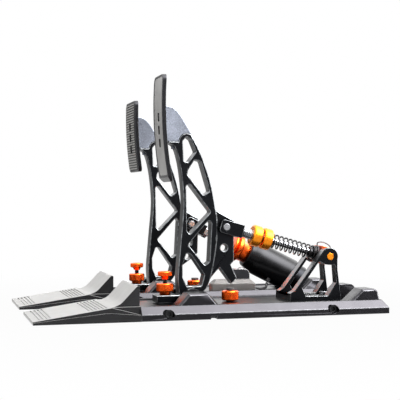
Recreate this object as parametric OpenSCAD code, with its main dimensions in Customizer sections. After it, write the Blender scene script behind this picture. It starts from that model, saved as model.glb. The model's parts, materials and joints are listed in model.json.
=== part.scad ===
// Sim racing pedal set: a throttle module and a brake module that stand side by side.
// Frame: origin at the bottom centre of the set, +X to the driver's right, -Y towards the driver, +Z up.

/* [Set] */
// Distance between the centre lines of the throttle and brake modules
module_pitch = 162; // [140:1:200]

/* [Base] */
// Width of a base and its heel rest
base_w = 110; // [104:1:126]
// Rear end of the base, from the origin
base_rear_y = 216; // [214:1:230]
// Front end of the base, where the heel rest begins
base_front_y = -93.5; // [-98:0.5:-90]
// Height of the upright part of the side
side_h = 7.5; // [6:0.5:8]
// Height of the rim above the floor
rim_h = 16.5; // [15.5:0.5:18]
// Run of the bevel from the side in to the rim
bevel_run = 7; // [5:0.5:9]
// Width of the flat rim beside the sunken deck
rim_w = 4; // [3:0.5:5]
// Depth of the deck below the rim
deck_drop = 2; // [1.5:0.5:3]
// Clear width between the left and right humps
hump_gap = 44; // [43:1:47]
// Height of the humps above the floor
hump_h = 30; // [29:0.5:34]

/* [Heel rest] */
// Front tip of the heel rest
heel_tip_y = -216; // [-230:1:-210]
// Height of the front tip
heel_tip_h = 3.5; // [3:0.5:5]
// Width of the toe stop
toe_stop_w = 88; // [70:1:98]
// Height of the toe stop above the floor
toe_stop_h = 39.5; // [34:0.5:46]
// Thickness of the toe stop at its top
toe_stop_top = 2.5; // [2:0.5:5]
// Depth of the grip grooves
groove_d = 0.9; // [0.5:0.1:1.4]

/* [Pedal arm] */
// Height of the pedal pivot above the floor
pivot_h = 22; // [21.5:0.5:23]
// Place of the pedal pivot along the base
pivot_y = -24; // [-26:1:-22]
// Thickness of the arm
arm_t = 16; // [14:1:18]
// Thickness of the rear lug and of the stop strut
lug_t = 12; // [10:1:13]
// Radius of the foot boss round the pivot
foot_r = 13; // [12.5:0.5:13]
// Radius of the pivot axle
axle_r = 6; // [5:0.5:7]
// Outer radius of the pivot bushes
bush_r = 9; // [8.5:0.5:10]
// Width of the rest stop ear in front of the foot
ear_w = 24; // [22:1:28]

/* [Pads] */
// Width of the throttle pad
throttle_pad_w = 46; // [42:1:60]
// Height of the throttle pad
throttle_pad_h = 128; // [118:1:132]
// Width of the brake pad
brake_pad_w = 60; // [50:1:80]
// Height of the brake pad
brake_pad_h = 95; // [86:1:100]
// Thickness of a pad
pad_t = 5; // [4.5:0.5:7]
// Radius of the curve of a pad
pad_curve_r = 500; // [350:10:800]
// Lean of a pad from upright, in degrees
pad_lean = 3.2; // [1:0.2:5]
// Number of ribs on the brake pad
brake_ribs = 27; // [20:1:28]

/* [Stop knobs] */
// Radius of the rest stop lock wheel
lock_wheel_r = 10.4; // [8:0.1:11.6]
// Radius of the rest stop knob
rest_knob_r = 8.7; // [7:0.1:10]
// Radius of the end stop wheel
end_wheel_r = 10.4; // [8:0.1:11]
// Radius of the stop screws
stop_screw_r = 2.8; // [2.4:0.1:3.2]

/* [Push rods] */
// Radius of the clevis pins and the throttle rear pin
pin_r = 4; // [3.5:0.1:4.2]
// Width of a clevis across its cheeks
clevis_w = 25; // [24:1:27]
// Height of a clevis
clevis_h = 16; // [15:0.5:18]
// Length of a clevis behind its pin
clevis_len = 22; // [21.5:0.5:25]

/* [Throttle spring unit] */
// Height of the rear pivot above the floor
throttle_rear_h = 69; // [66:0.5:72]
// Place of the rear pivot along the base
throttle_rear_y = 150; // [148:0.5:151]
// Outer radius of the preload and lock rings
ring_r = 13.2; // [11:0.1:14]
// Length of one ring
ring_len = 12; // [10:0.5:13]
// Radius of the threaded part of the rod
thread_r = 6.4; // [6:0.1:7]
// Radius of the sliding part of the rod
slide_r = 4; // [3.6:0.1:4.2]
// Mean radius of the coil spring
spring_r = 8.2; // [7.2:0.1:8.6]
// Radius of the spring wire
wire_r = 0.85; // [0.6:0.05:0.9]
// Number of turns of the spring
spring_turns = 10; // [8:1:11]
// Width of the rear bracket
bracket_w = 52; // [50:1:56]
// Thickness of a bracket side plate
bracket_t = 12; // [10:1:13]
// Thickness of the bracket floor
bracket_floor = 3.5; // [3:0.5:5]

/* [Brake cylinder] */
// Height of the rear pivot above the floor
brake_rear_h = 19; // [18:0.5:20]
// Place of the rear pivot along the base
brake_rear_y = 193; // [192:0.5:194]
// Outer radius of the cylinder
cyl_r = 23; // [21:0.5:23.5]
// Bore radius of the cylinder
cyl_bore_r = 12.5; // [10:0.5:14]
// Distance from the clevis pin to the front of the cylinder
cyl_start = 92; // [90:0.5:96]
// Length of the collar in front of the cylinder
collar_len = 24; // [22:0.5:26]
// Radius of the brake push rod
brake_rod_r = 5; // [4:0.1:5.5]
// Radius of the brake rear pin
brake_pin_r = 5; // [4:0.5:6]

/* [Sensor box] */
// Length of the sensor box
box_len = 61; // [52:1:62]
// Height of the sensor box body above the deck
box_h = 10.5; // [9:0.5:13]

/* [Fasteners] */
// Radius of the socket heads in the sides
side_head_r = 5; // [4.6:0.1:5.2]
// Radius of the underside M6 mounting holes
mount_hole_r = 2.5; // [2:0.1:3.2]
// Spacing of the underside holes across a base
mount_dx = 80; // [64:1:84]
// Spacing of the underside holes along a base
mount_dy = 200; // [190:1:206]

/* [Hidden] */
$fn = 48;
running = 0.05;
seat_gap = 0.15;
side_gap = 0.4;
eps = 0.01;
deck_h = rim_h - deck_drop;
half_w = base_w / 2;
rim_x = half_w - bevel_run;
deck_x = rim_x - rim_w;
hump_in = hump_gap / 2;
hump_out = rim_x - 0.5;
hump_w = hump_out - hump_in;
throttle_x = module_pitch / 2;
brake_x = -module_pitch / 2;
pivot = [pivot_y, pivot_h];
axle_wall = 3;
foot_pocket_z = pivot_h - foot_r - 1;
rear_pocket_z = 5;
rear_pocket_end = base_rear_y - 11;
rear_hump_y = base_rear_y - 8;
black = [0.09, 0.09, 0.1];
orange = [0.9, 0.32, 0.08];
yellow = [0.97, 0.62, 0.1];
silver = [0.72, 0.74, 0.78];
dark_grey = [0.22, 0.22, 0.24];
warm_grey = [0.66, 0.64, 0.62];

// Points of the pedal arm are measured from the pivot: [along the base, up].
clevis_at = [45, 84];
spare_hole_at = [43.5, 58.5];
lower_hole_at = [40.5, 39.5];
spare_hole_r = 4.3;
ear_y = [-42, -14];
ear_z = [-6.5, 3];
rest_screw_at = -29;
head_z = 186.5;
hump_at = [-3.5, 186.5];
head_r = 10.3;
head_front = -26.5;
head_end_angle = 63;
pad_back_at = [-32.4, 202];
clevis_pt = pivot + clevis_at;
throttle_rear = [throttle_rear_y, throttle_rear_h];
brake_rear = [brake_rear_y, brake_rear_h];
throttle_unit_len = norm(throttle_rear - clevis_pt);
brake_unit_len = norm(brake_rear - clevis_pt);
throttle_slope = fall(clevis_pt, throttle_rear);
brake_slope = fall(clevis_pt, brake_rear);
pad_axis = pivot + pad_back_at + pad_curve_r * [cos(pad_lean), sin(pad_lean)];
end_stop_y = pivot_y + 53;
bumper_top = pivot_h + 9;
ear_top = pivot_h + ear_z[1];
rest_knob_top = ear_top + 28;

// Fall of the line from a to b below level, in degrees
function fall(a, b) = atan2(a[1] - b[1], b[0] - a[0]);
function arc(centre, r, from, to, steps) =
    [for (i = [0:steps]) let (a = from + (to - from) * i / steps) centre + r * [cos(a), sin(a)]];
function unit(v) = v / norm(v);
// One corner of an outline turned into an arc of radius r
function corner(before, at, after, r, steps) =
    let (
        u = unit(before - at),
        v = unit(after - at),
        half = acos(u * v) / 2,
        reach = r / tan(half),
        centre = at + unit(u + v) * r / sin(half),
        start = at + u * reach - centre,
        end = at + v * reach - centre,
        from = atan2(start[1], start[0]),
        turn = atan2(end[1], end[0]) - from,
        sweep = turn > 180 ? turn - 360 : (turn < -180 ? turn + 360 : turn)
    )
    arc(centre, r, from, from + sweep, steps);
function rounded(points, r, steps = 4) =
    let (n = len(points))
    [for (i = [0:n - 1]) each corner(points[(i + n - 1) % n], points[i], points[(i + 1) % n], r, steps)];
// A smooth curve through the points
function curve_at(a, b, c, d, t) =
    b + (c - a) * t / 2 + (2 * a - 5 * b + 4 * c - d) * t * t / 2 + (3 * b - a - 3 * c + d) * t * t * t / 2;
function smooth(points, steps = 4) =
    let (n = len(points))
    concat(
        [for (i = [0:n - 2], s = [0:steps - 1])
            curve_at(points[max(i - 1, 0)], points[i], points[i + 1], points[min(i + 2, n - 1)], s / steps)],
        [points[n - 1]]
    );

// Extrudes an outline given in the Y-Z plane across X
module across(from, to) {
    translate([from, 0, 0])
        rotate([90, 0, 90])
            linear_extrude(to - from) children();
}
module slab(points, t) {
    across(-t / 2, t / 2) polygon(points);
}
// A round bar along X
module cross_bar(at, r, from, to) {
    translate([from, at[0], at[1]])
        rotate([0, 90, 0])
            cylinder(r = r, h = to - from);
}
// Moves its children to a push rod: +Z runs from the clevis pin to the rear pivot, -Y is up
module on_rod(slope) {
    translate([0, clevis_pt[0], clevis_pt[1]])
        rotate([-90 - slope, 0, 0])
            children();
}
module both_sides() {
    children();
    mirror([1, 0, 0]) children();
}
module ring(r, bore, h) {
    difference() {
        cylinder(r = r, h = h);
        translate([0, 0, -1]) cylinder(r = bore, h = h + 2);
    }
}
// A wheel with rounded edges, as the outline [radius, height] turned round its axis
module wheel(r, h, bore, edge) {
    rotate_extrude()
        polygon(concat(
            [[bore, 0]],
            arc([r - edge, edge], edge, -90, 0, 5),
            arc([r - edge, h - edge], edge, 0, 90, 5),
            [[bore, h]]
        ));
}

// Tube swept along points, with a fixed number of sides
function lerp(a, b, t) = a + (b - a) * t;
function tangent(path, i) =
    unit(path[min(i + 1, len(path) - 1)] - path[max(i - 1, 0)]);
function ring_points(path, i, r, sides, ref) =
    let (
        t = tangent(path, i),
        n = unit(cross(t, ref)),
        b = cross(t, n)
    )
    [for (k = [0:sides - 1]) path[i] + r * (n * cos(360 * k / sides) + b * sin(360 * k / sides))];
module tube(path, r, sides, ref) {
    n = len(path);
    points = [for (i = [0:n - 1]) each ring_points(path, i, r, sides, ref)];
    walls = [for (i = [0:n - 2], k = [0:sides - 1])
        let (a = i * sides + k, b = i * sides + (k + 1) % sides)
        each [[a, b, b + sides], [a, b + sides, a + sides]]];
    first = [for (k = [1:sides - 2]) [0, k + 1, k]];
    last = [for (k = [1:sides - 2]) [0, k, k + 1] + [1, 1, 1] * (n - 1) * sides];
    polyhedron(concat(points), [for (f = concat(walls, first, last)) [f[2], f[1], f[0]]]);
}

// Base
module hump(low_front, top_front, top_rear, low_rear, rear_r) {
    both_sides()
        across(hump_in, hump_out)
            polygon(concat(
                [[low_front, deck_h - 1], [low_front, deck_h], [top_front, hump_h]],
                corner([top_front, hump_h], [top_rear, hump_h], [low_rear, deck_h], rear_r, 5),
                [[low_rear, deck_h], [low_rear, deck_h - 1]]
            ));
}
bolt_z = 6.8;
bolt_pocket_r = side_head_r + 0.5;
bolt_shank_r = 3;
bolt_seat_x = half_w - 10.5;
bolt_shank = 14;
bolt_head_t = 5;
mouth_at = [-4.2, 1.2];
mouth_r = 4.6;
side_bolt_y = [-60, 144];
module at_side_bolts() {
    for (side = [-1, 1], y = side_bolt_y)
        translate([side * bolt_seat_x, y, bolt_z])
            rotate([0, side * 90, 0])
                children();
}
mount_mid_y = 62;
heel_screw_x = 34;
heel_screw_y = base_front_y - 17;
tongue_len = 32;
tongue_w = 92;
tongue_h = [1.5, 6];
module at_heel_screws() {
    for (side = [-1, 1])
        translate([side * heel_screw_x, heel_screw_y, 0])
            children();
}
module base_block() {
    intersection() {
        translate([0, base_rear_y + 1, 0])
            rotate([90, 0, 0])
                linear_extrude(base_rear_y - base_front_y + 1)
                    polygon([
                        [-half_w, 0], [half_w, 0], [half_w, side_h], [rim_x, rim_h],
                        [-rim_x, rim_h], [-half_w, side_h]
                    ]);
        across(-base_w, base_w)
            polygon([
                [base_front_y, 0], [base_rear_y, 0], [base_rear_y, side_h],
                [base_rear_y - bevel_run, rim_h], [base_front_y, rim_h]
            ]);
    }
}
module base(pocket_y, rear_pin) {
    color(dark_grey)
        difference() {
            union() {
                difference() {
                    base_block();
                    translate([-deck_x, base_front_y + 5, deck_h])
                        cube([2 * deck_x, base_rear_y - base_front_y - 16, rim_h]);
                }
                translate([-tongue_w / 2, base_front_y - tongue_len, tongue_h[0]])
                    cube([tongue_w, tongue_len + 1, tongue_h[1] - tongue_h[0]]);
                hump(pivot_y - 26, pivot_y - 11.5, pivot_y + 12, pivot_y + 26, 3);
                hump(rear_hump_y - 41, rear_hump_y - 24, rear_hump_y - 4, rear_hump_y, 8);
            }
            translate([-hump_in, pivot_y - foot_r - 2, foot_pocket_z])
                cube([hump_gap, 2 * foot_r + 4, hump_h]);
            translate([-hump_in, pocket_y, rear_pocket_z])
                cube([hump_gap, rear_pocket_end - pocket_y, hump_h]);
            cross_bar(pivot, axle_r + running, -hump_out + axle_wall, hump_out - axle_wall);
            if (rear_pin)
                both_sides()
                    cross_bar(brake_rear, brake_pin_r + running, 0, hump_out - axle_wall);
            at_side_bolts() {
                cylinder(r = bolt_pocket_r, h = 20);
                translate([0, 0, -bolt_shank - 1]) cylinder(r = bolt_shank_r + running, h = bolt_shank + 2);
            }
            for (side = [-1, 1], y = side_bolt_y)
                translate([side * (half_w - 6), y + mouth_at[0], bolt_z + mouth_at[1]])
                    rotate([0, side * 90, 0])
                        cylinder(r = mouth_r, h = 20);
            at_heel_screws() {
                cylinder(r = 2.6, h = 10);
                translate([0, 0, tongue_h[0] - eps]) cylinder(r1 = 5.2, r2 = 2.6, h = 2.6);
            }
            both_sides()
                translate([half_w - 12, pivot_y + 13, -1]) cube([20, 7, 4.5]);
            for (sx = [-1, 1], sy = [-1, 1])
                translate([sx * mount_dx / 2, mount_mid_y + sy * mount_dy / 2, -1])
                    cylinder(r = mount_hole_r, h = 11);
            translate([0, end_stop_y, deck_h - 6]) cylinder(r = 3, h = 10);
        }
}
module base_bolts() {
    color(black)
        at_side_bolts()
            difference() {
                union() {
                    cylinder(r = side_head_r, h = bolt_head_t);
                    translate([0, 0, -bolt_shank]) cylinder(r = bolt_shank_r, h = bolt_shank + 1);
                }
                translate([0, 0, bolt_head_t - 3.5]) cylinder(r = 2.9, h = 6, $fn = 6);
            }
}

// Heel rest
heel_top_y = base_front_y - 34;
heel_angle = atan2(rim_h - heel_tip_h, heel_top_y - heel_tip_y);
module heel_grooves(from, count, pitch) {
    for (i = [0:count - 1])
        translate([0, heel_tip_y, heel_tip_h])
            rotate([heel_angle, 0, 0])
                translate([-half_w + 9, from + i * pitch, -groove_d])
                    cube([base_w - 18, 1.6, 5]);
}
module heel_rest() {
    color(warm_grey)
        difference() {
            union() {
                across(-half_w, half_w)
                    polygon([
                        [heel_tip_y, 0], [base_front_y, 0], [base_front_y, side_h],
                        [heel_top_y, side_h + 3], [heel_top_y - 8, side_h + 3], [heel_tip_y, heel_tip_h - 1]
                    ]);
                across(-half_w + 1.5, half_w - 1.5)
                    polygon([
                        [heel_tip_y, 0], [base_front_y, 0], [base_front_y, side_h],
                        [heel_top_y, rim_h], [heel_tip_y, heel_tip_h]
                    ]);
                across(-rim_x, rim_x)
                    polygon([
                        [heel_top_y - 1, side_h], [base_front_y, side_h], [base_front_y, rim_h],
                        [heel_top_y, rim_h]
                    ]);
                across(-toe_stop_w / 2, toe_stop_w / 2)
                    polygon(concat(
                        [[base_front_y, rim_h - 1]],
                        [[base_front_y, toe_stop_h - 1], [base_front_y - 1, toe_stop_h]],
                        [[base_front_y - toe_stop_top, toe_stop_h]],
                        smooth([
                            [base_front_y - toe_stop_top - 1.5, toe_stop_h - 1],
                            [base_front_y - 14, lerp(rim_h, toe_stop_h, 0.5)],
                            [base_front_y - 22, rim_h + 3.6],
                            [base_front_y - 30, rim_h]
                        ]),
                        [[base_front_y - 30, rim_h - 1]]
                    ));
            }
            heel_grooves(7, 4, 4.2);
            heel_grooves(64, 6, 4);
            translate([-tongue_w / 2 - seat_gap, base_front_y - tongue_len - seat_gap, tongue_h[0] - 5])
                cube([tongue_w + 2 * seat_gap, tongue_len + 10, tongue_h[1] + 5 - tongue_h[0] + seat_gap]);
            at_heel_screws() cylinder(r = 2.5 + running, h = 13.5);
        }
}
module heel_screws() {
    color(black)
        at_heel_screws() {
            translate([0, 0, tongue_h[0]]) cylinder(r1 = 4.9, r2 = 2.45, h = 2.5);
            translate([0, 0, tongue_h[0] + 2]) cylinder(r = 2.45, h = 9);
        }
}

// Pivot
module pivot_axle() {
    color(silver)
        cross_bar(pivot, axle_r, -hump_out + axle_wall + seat_gap, hump_out - axle_wall - seat_gap);
}
module pivot_bushes() {
    color(silver)
        both_sides()
            difference() {
                union() {
                    cross_bar(pivot, bush_r, seat_gap, arm_t / 2 + seat_gap);
                    cross_bar(pivot, bush_r + 2, arm_t / 2 + seat_gap, hump_in - side_gap);
                }
                cross_bar(pivot, axle_r + running, -1, hump_in + 1);
            }
}

// Pedal arm
arm_front = [[-13.5, 4], [-15, 23], [-13, 50], [-10.5, 78], [-8.5, 100], [-8, 118], [-10, 143],
    [-14, 166], [-19, 180], [-26.5, 185]];
arm_rear = [[1.2, 195.7], [13, 174], [25, 141], [32, 107], [34.4, 85], [32.5, 58], [28.5, 35],
    [23, 14], [13, 2]];
window_top = [[-8.7, 187.5], [-4, 193], [1.5, 189], [7.5, 174.5], [-2, 162], [-7.6, 163]];
window_upper = [[6, 165], [13.6, 163], [24.5, 127], [17, 122], [-3, 147], [-2, 152.5]];
window_big = [[-4.6, 134], [0, 135.5], [26, 102], [0, 75], [-3.4, 79]];
window_lower = [[24.5, 93], [27, 88], [24.5, 42], [19, 37.5], [-2, 63]];
window_foot = [[-4, 53], [1, 51], [18, 26], [14.5, 13], [-3.5, 12], [-8.8, 24], [-9, 38]];
lug = [[26, 108], [56, 91.5], [56, 42], [52, 38], [43, 38], [34, 30.5], [26, 21.5], [20, 22]];
brake_lug = [[26, 108], [56, 91.5], [56, 67], [55.4, 43.5], [47.4, 36.5], [35.4, 28], [24, 20]];
strut = [[38, 34], [44.5, 42], [52, 38], [60.1, 21.5], [52.8, 14.3], [44.7, 25]];
function from_pivot(points) = [for (p = points) pivot + p];
module arm_plate() {
    slab(from_pivot(concat(
        [[head_front, head_z]],
        arc(hump_at, head_r, 180, head_end_angle, 8),
        smooth(arm_rear),
        smooth(arm_front)
    )), arm_t);
}
module arm(lug_outline, with_strut) {
    color(black)
        difference() {
            union() {
                difference() {
                    union() {
                        arm_plate();
                        slab(from_pivot(lug_outline), lug_t);
                        if (with_strut) slab(from_pivot(strut), lug_t);
                    }
                    for (w = [window_top, window_upper, window_big, window_lower, window_foot])
                        across(-arm_t, arm_t)
                            polygon(from_pivot(rounded(w, 2.2)));
                }
                cross_bar(pivot, foot_r, -arm_t / 2, arm_t / 2);
                translate([-ear_w / 2, pivot_y + ear_y[0], pivot_h + ear_z[0]])
                    cube([ear_w, ear_y[1] - ear_y[0], ear_z[1] - ear_z[0]]);
                translate([-arm_t / 2, pivot_y + ear_y[0], pivot_h + ear_z[0]])
                    cube([arm_t, -ear_y[0], ear_z[1] - ear_z[0]]);
            }
            cross_bar(pivot, bush_r + running, -arm_t, arm_t);
            cross_bar(clevis_pt, pin_r + running, -arm_t, arm_t);
            cross_bar(pivot + spare_hole_at, spare_hole_r, -arm_t, arm_t);
            if (!with_strut) cross_bar(pivot + lower_hole_at, spare_hole_r, -arm_t, arm_t);
            translate([0, pivot_y + rest_screw_at, 0]) cylinder(r = stop_screw_r + running, h = 60);
            carrier_tongue(seat_gap);
        }
}

// Pad carrier, between the arm head and the pad
tongue_y = [-21, -14];
tongue_z = [178, 187];
module carrier_tongue(gap) {
    translate([-3 - gap, pivot_y + tongue_y[0] - gap, pivot_h + tongue_z[0] - gap])
        cube([6 + 2 * gap, tongue_y[1] - tongue_y[0] + 2 * gap, tongue_z[1] - tongue_z[0] + gap + 1]);
}
carrier_back = [[1.6, 196.6], [-5.2, 207.5], [-11, 217], [-16.6, 223.7], [-21.8, 227.6], [-29, 229]];
module carrier_body() {
    intersection() {
        slab(from_pivot(concat(
            [[-45, head_z + seat_gap]],
            arc(hump_at, head_r + seat_gap, 179.2, head_end_angle, 8),
            smooth(carrier_back),
            [[-45, 229]]
        )), arm_t);
        cross_bar(pad_axis, pad_curve_r - eps, -arm_t, arm_t, $fn = 96);
    }
}
pad_screw_drops = [14, -1.5];
pad_screw_r = 2.5;
pad_head_r = 4.2;
pad_head_t = 1.4;
module pad_carrier() {
    color(silver)
        difference() {
            union() {
                carrier_body();
                carrier_tongue(0);
            }
            at_pad_screws() cylinder(r = pad_screw_r + running, h = 16);
        }
}

// Pads: slices of a wide tube, so that the face is curved
module pad_frame() {
    translate([0, pivot_y + pad_back_at[0], pivot_h + pad_back_at[1]])
        rotate([pad_lean, 0, 0])
            children();
}
module at_pad_screws() {
    pad_frame()
        for (z = pad_screw_drops)
            translate([0, 0, z])
                rotate([-90, 0, 0])
                    children();
}
module pad_layer(from, to, w, h, r, lift = 0) {
    intersection() {
        difference() {
            cross_bar(pad_axis, pad_curve_r + to, -w, w, $fn = 96);
            cross_bar(pad_axis, pad_curve_r + from, -w - 1, w + 1, $fn = 96);
        }
        pad_frame()
            translate([0, 30, 0])
                rotate([90, 0, 0])
                    linear_extrude(60)
                        translate([0, lift])
                            polygon(rounded([[-w / 2, -h / 2], [w / 2, -h / 2], [w / 2, h / 2], [-w / 2, h / 2]], r));
    }
}
pad_rim = 2.5;
face_t = 1.6;
rim_proud = 0.5;
slot_drops = [14, -1.5, -17];
slot_w = 10.4;
slot_h = 10.5;
slot_floor = 1.2;
face_seat = pad_t - face_t - rim_proud;
module pad_slots(w, h, depth) {
    pad_frame()
        for (z = slot_drops)
            translate([-w / 2, -depth, z - h / 2])
                cube([w, 2 * depth, h]);
}
// Lip at the foot of the throttle pad: [height, depth]
throttle_lip = [5.5, 3];
function pad_front(z) = z * z / (2 * pad_curve_r) - pad_t;
module lip_cut(h, lip) {
    top = lip[0] - h / 2;
    pad_frame()
        across(-100, 100)
            polygon([
                [pad_front(top) - 9, top], [pad_front(top), top], [pad_front(h / 2) + lip[1], -h / 2],
                [pad_front(h / 2) + lip[1], -h / 2 - 9], [pad_front(top) - 9, -h / 2 - 9]
            ]);
}
module pad(w, h, lip = [0, 0]) {
    color(black)
        difference() {
            pad_layer(0, pad_t, w, h, 7);
            pad_layer(face_seat, pad_t + 2, w - 2 * pad_rim, h - 2 * pad_rim - lip[0], 5, lip[0] / 2);
            if (lip[0] > 0) lip_cut(h, lip);
            pad_frame()
                for (z = slot_drops)
                    translate([-slot_w / 2, -12, z - slot_h / 2])
                        cube([slot_w, 12 - slot_floor, slot_h]);
            at_pad_screws() translate([0, 0, -12]) cylinder(r = pad_screw_r + 0.2, h = 24);
        }
}
module throttle_pad_face() {
    color(warm_grey)
        difference() {
            pad_layer(face_seat + eps, pad_t - rim_proud, throttle_pad_w - 2 * pad_rim - 0.3,
                throttle_pad_h - 2 * pad_rim - throttle_lip[0] - 0.3, 4.9, throttle_lip[0] / 2);
            pad_slots(slot_w, slot_h, 12);
        }
}
rib_w = 1.9;
rib_pitch = (brake_pad_h - 2 * pad_rim - 4) / (brake_ribs - 1);
module brake_pad_face() {
    color(dark_grey)
        difference() {
            union() {
                pad_layer(face_seat + eps, pad_t - rim_proud, brake_pad_w - 2 * pad_rim - 0.3,
                    brake_pad_h - 2 * pad_rim - 0.3, 4.9);
                intersection() {
                    pad_layer(pad_t - face_t, pad_t + 0.6, brake_pad_w - 2 * pad_rim - 3,
                        brake_pad_h - 2 * pad_rim - 2, 3);
                    pad_frame()
                        for (i = [0:brake_ribs - 1])
                            translate([-brake_pad_w / 2, -20, (i - (brake_ribs - 1) / 2) * rib_pitch - rib_w / 2])
                                cube([brake_pad_w, 30, rib_w]);
                }
            }
            pad_slots(slot_w, slot_h, 12);
        }
}
module pad_screws() {
    color(black)
        at_pad_screws()
            difference() {
                union() {
                    translate([0, 0, -slot_floor]) cylinder(r = pad_screw_r, h = slot_floor + 11);
                    translate([0, 0, -slot_floor - pad_head_t]) cylinder(r = pad_head_r, h = pad_head_t);
                }
                translate([0, 0, -slot_floor - pad_head_t - 1]) cylinder(r = 1.9, h = 2, $fn = 6);
            }
}

// Rest stop on the arm's ear, and end stop on the deck
module at_rest_stop() {
    translate([0, pivot_y + rest_screw_at, ear_top])
        children();
}
knob_neck = 18.5;
lock_stub_h = 3.4;
lock_wheel_h = 10.4;
module rest_knob() {
    color(orange)
        at_rest_stop() {
            translate([0, 0, deck_h + 0.3 - ear_top])
                cylinder(r = stop_screw_r, h = ear_top + knob_neck + 1 - deck_h - 0.3);
            translate([0, 0, knob_neck]) cylinder(r1 = 4, r2 = 5.6, h = 3.5);
            translate([0, 0, knob_neck + 3.4]) wheel(rest_knob_r, 6, 0, 1);
        }
}
module rest_lock_wheel() {
    color(orange)
        at_rest_stop()
            translate([0, 0, seat_gap])
                difference() {
                    union() {
                        cylinder(r1 = 6.2, r2 = 7.4, h = lock_stub_h + 0.1);
                        translate([0, 0, lock_stub_h]) wheel(lock_wheel_r, lock_wheel_h, 0, 1.2);
                    }
                    translate([0, 0, -1]) cylinder(r = stop_screw_r + running, h = 20);
                }
}
end_nut_h = 1.4;
end_wheel_h = 11.8;
module at_end_stop() {
    translate([0, end_stop_y, deck_h])
        children();
}
module end_stop_bumper() {
    color(black)
        at_end_stop() {
            translate([0, 0, -5.5]) cylinder(r = 3 - running, h = 12);
            cylinder(r = 5, h = end_nut_h);
            cylinder(r = stop_screw_r, h = bumper_top - deck_h - 1);
            translate([0, 0, end_nut_h + end_wheel_h + 2 * seat_gap])
                cylinder(r = 5, h = bumper_top - deck_h - end_nut_h - end_wheel_h - 2 * seat_gap);
        }
}
module end_stop_wheel() {
    color(orange)
        at_end_stop()
            translate([0, 0, end_nut_h + seat_gap])
                wheel(end_wheel_r, end_wheel_h, 3 + running, 1.2);
}

// Clevis and push rods
cheek_in = lug_t / 2 + side_gap;
fork_root = 17;
clevis_front = 7.5;
clevis_corner_r = 4;
pin_proud = 0.6;
module clevis_pin() {
    color(silver) cross_bar(clevis_pt, pin_r, -clevis_w / 2 - pin_proud, clevis_w / 2 + pin_proud);
}
module clevis(slope) {
    color(black)
        on_rod(slope)
            difference() {
                slab(concat(
                    corner([-clevis_h / 2, 0], [-clevis_h / 2, -clevis_front], [0, -clevis_front], clevis_corner_r, 5),
                    corner([0, -clevis_front], [clevis_h / 2, -clevis_front], [clevis_h / 2, 0], clevis_corner_r, 5),
                    [[clevis_h / 2, clevis_len], [-clevis_h / 2, clevis_len]]
                ), clevis_w);
                translate([-cheek_in, -clevis_h, -clevis_h]) cube([2 * cheek_in, 2 * clevis_h, clevis_h + fork_root]);
                translate([-clevis_w, 0, 0]) rotate([0, 90, 0]) cylinder(r = pin_r + running, h = 2 * clevis_w);
            }
}
ring_start = 36.5;
ring_step = ring_len + 2;
spring_start = ring_start + ring_step + ring_len;
slide_end = throttle_unit_len - 15;
module throttle_rod() {
    color(silver)
        on_rod(throttle_slope) {
            translate([0, 0, clevis_len]) cylinder(r = thread_r, h = spring_start - 1 - clevis_len);
            translate([0, 0, clevis_len]) cylinder(r = slide_r, h = slide_end - clevis_len);
        }
}
module throttle_ring(start) {
    color(yellow)
        on_rod(throttle_slope)
            translate([0, 0, start])
                wheel(ring_r, ring_len, thread_r + running, 2.4);
}

// Throttle spring, one unbroken wire
tube_r = 5.8;
seat_r = 10;
guide_bore_r = slide_r + 0.9;
seat_t = 3;
seat_at = throttle_unit_len - 10.5;
tube_front = seat_at - 9;
spring_lo = spring_start + wire_r + running;
spring_hi = seat_at - wire_r - running;
spring_rings = 8;
spring_path = [for (i = [0:spring_turns * spring_rings])
    let (a = 360 * i / spring_rings, t = i / (spring_turns * spring_rings))
    [spring_r * cos(a), spring_r * sin(a), lerp(spring_lo, spring_hi, t)]];
spring_gap = min([for (i = [0:len(spring_path) - 1 - spring_rings])
    norm(spring_path[i + spring_rings] - spring_path[i]) - 2 * wire_r]);
module throttle_spring() {
    echo(spring_least_gap = spring_gap);
    color(black)
        on_rod(throttle_slope) tube(spring_path, wire_r, 6, [0, 0, 1]);
}
module guide_tube() {
    color(black)
        on_rod(throttle_slope)
            difference() {
                union() {
                    translate([0, 0, tube_front]) cylinder(r = tube_r, h = trunnion_start - tube_front);
                    translate([0, 0, seat_at]) cylinder(r = seat_r, h = seat_t);
                }
                translate([0, 0, tube_front - 1]) cylinder(r = guide_bore_r, h = 40);
            }
}
trunnion_x = bracket_w / 2 - bracket_t - side_gap;
trunnion_len = 7.5;
trunnion_r = 10.8;
trunnion_start = throttle_unit_len - trunnion_len;
guide_end = throttle_unit_len - 5;
trunnion_steps = 12;
trunnion_outline = let (
        back = [cos(throttle_slope), -sin(throttle_slope)],
        up = [sin(throttle_slope), cos(throttle_slope)]
    )
    concat(
        [throttle_rear - trunnion_len * back - trunnion_r * up],
        arc(throttle_rear, trunnion_r, -90 - throttle_slope, 90 - throttle_slope, trunnion_steps),
        [throttle_rear - trunnion_len * back + trunnion_r * up]
    );
module trunnion() {
    color(orange)
        difference() {
            slab(trunnion_outline, 2 * trunnion_x);
            cross_bar(throttle_rear, pin_r + running, -trunnion_x - 1, trunnion_x + 1);
            on_rod(throttle_slope)
                translate([0, 0, trunnion_start - 1]) cylinder(r = guide_bore_r, h = guide_end - trunnion_start + 1);
        }
}
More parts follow.
